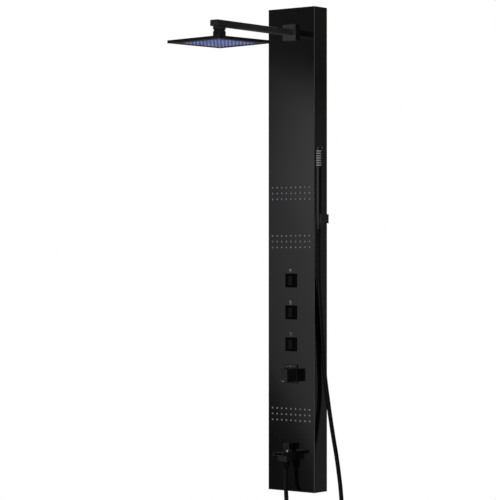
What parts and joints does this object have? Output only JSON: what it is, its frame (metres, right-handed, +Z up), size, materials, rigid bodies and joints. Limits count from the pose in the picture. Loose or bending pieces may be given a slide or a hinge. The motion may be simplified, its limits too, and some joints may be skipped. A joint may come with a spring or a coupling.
{
  "type": "rainfall shower column",
  "caption": "Slim wall-mounted shower panel with a square lit rain head on an arm, body jets, push controls, thermostat handle, tub spout and a hand shower on a hose.",
  "frame": {"origin": "centre of the four wall-fixing holes, on the wall plane", "axes": "+Z up along the panel, +Y into the wall, +X to the right seen from the front"},
  "size_m": [0.2887, 0.5395, 1.7679],
  "materials": {
    "panel": "satin black baked paint on folded stainless sheet",
    "black_metal": "satin black coating",
    "satin_metal": "dark satin metal, lightly brushed",
    "gloss_black": "gloss black",
    "matt_black": "matt black",
    "hose_metal": "black interlocked metal sleeve",
    "brass": "cast and turned, uncoated",
    "steel": "zinc plated or stainless",
    "chrome": "plated, polished",
    "pale_plastic": "moulded acetal",
    "pipe_plastic": "extruded tube",
    "dark_plastic": "moulded",
    "silicone": "soft grey silicone",
    "lit_window": "clear acrylic, lit blue from behind",
    "circuit_board": "white solder mask",
    "copper": "enamelled copper wire"
  },
  "bodies": {
    "root": {"panel_shell": "panel", "hanger_rails": "steel", "upper_wall_bracket": "steel", "lower_wall_bracket": "steel", "mixer_body": "brass", "inlet_unions": "chrome", "thermostat_cartridge": "pale_plastic", "valve_manifold": "brass", "stop_valves": "pale_plastic", "supply_pipe": "pipe_plastic", "rain_pipe": "pipe_plastic", "jets_pipe": "pipe_plastic", "spout_pipe": "pipe_plastic", "upper_jet_box": "dark_plastic", "middle_jet_box": "dark_plastic", "lower_jet_box": "dark_plastic", "upper_jet_nozzles": "silicone", "middle_jet_nozzles": "silicone", "lower_jet_nozzles": "silicone", "arm_flange": "satin_metal", "arm_tube": "black_metal", "arm_locknut": "brass", "ball_stud": "steel", "rain_button_frame": "matt_black", "jets_button_frame": "matt_black", "hand_button_frame": "matt_black", "thermostat_plate": "black_metal", "spout_body": "black_metal", "diverter_neck": "chrome", "spout_locknut": "brass", "hose_outlet": "black_metal", "lower_hose_nut": "matt_black", "shower_hose": "hose_metal", "holder_block": "black_metal", "holder_screws": "steel"},
    "swivel_yaw": {"upper_ball_seat": "pale_plastic"},
    "swivel_pitch": {"lower_ball_seat": "pale_plastic"},
    "head": {"swivel_nut": "black_metal", "head_boss": "black_metal", "generator_coil": "copper", "turbine_pin": "steel", "head_shell": "black_metal", "head_frame": "black_metal", "led_window": "lit_window", "rain_nozzles": "silicone", "led_board": "circuit_board", "head_screws": "steel"},
    "turbine": {"turbine_wheel": "pale_plastic"},
    "rain_button": {"rain_button": "matt_black"},
    "jets_button": {"jets_button": "matt_black"},
    "hand_button": {"hand_button": "matt_black"},
    "thermostat": {"thermostat_handle": "black_metal", "thermostat_spindle": "brass"},
    "safety_button": {"safety_button": "matt_black"},
    "diverter": {"diverter_knob": "black_metal"},
    "hose_end": {"hose_ferrule": "black_metal"},
    "handset": {"cone_nut": "black_metal", "handset_body": "gloss_black", "handset_nozzles": "silicone"}
  },
  "joints": [
    {"name": "head_turn", "type": "hinge", "parent": "root", "child": "swivel_yaw", "pos_m": [0, -0.418, 0.645], "axis": [0, 0, 1], "continuous": true},
    {"name": "head_nod", "type": "hinge", "parent": "swivel_yaw", "child": "swivel_pitch", "pos_m": [0, -0.418, 0.645], "axis": [1, 0, 0], "range_deg": [-10, 10]},
    {"name": "head_tilt", "type": "hinge", "parent": "swivel_pitch", "child": "head", "pos_m": [0, -0.418, 0.645], "axis": [0, 1, 0], "range_deg": [-10, 10]},
    {"name": "turbine_spin", "type": "hinge", "parent": "head", "child": "turbine", "pos_m": [0, -0.418, 0.627], "axis": [0, 0, 1], "continuous": true},
    {"name": "rain_button_push", "type": "slide", "parent": "root", "child": "rain_button", "axis": [0, 1, 0], "range_m": [0, 0.004], "stiffness_N_per_m": 400, "springref_m": -0.001},
    {"name": "jets_button_push", "type": "slide", "parent": "root", "child": "jets_button", "axis": [0, 1, 0], "range_m": [0, 0.004], "stiffness_N_per_m": 400, "springref_m": -0.001},
    {"name": "hand_button_push", "type": "slide", "parent": "root", "child": "hand_button", "axis": [0, 1, 0], "range_m": [0, 0.004], "stiffness_N_per_m": 400, "springref_m": -0.001},
    {"name": "thermostat_turn", "type": "hinge", "parent": "root", "child": "thermostat", "pos_m": [0, -0.09, -0.39], "axis": [0, -1, 0], "range_deg": [-90, 120]},
    {"name": "safety_press", "type": "slide", "parent": "thermostat", "child": "safety_button", "axis": [0, 0, -1], "range_m": [0, 0.0015], "stiffness_N_per_m": 300, "springref_m": -0.001},
    {"name": "diverter_lift", "type": "slide", "parent": "root", "child": "diverter", "axis": [0, 0, 1], "range_m": [0, 0.01]},
    {"name": "handset_lift", "type": "slide", "parent": "root", "child": "hose_end", "axis": [0, 0, 1], "range_m": [0, 0.06]},
    {"name": "handset_turn", "type": "hinge", "parent": "hose_end", "child": "handset", "pos_m": [0.112, -0.073, 0.095], "axis": [0, 0, 1], "range_deg": [-180, 180]}
  ]
}
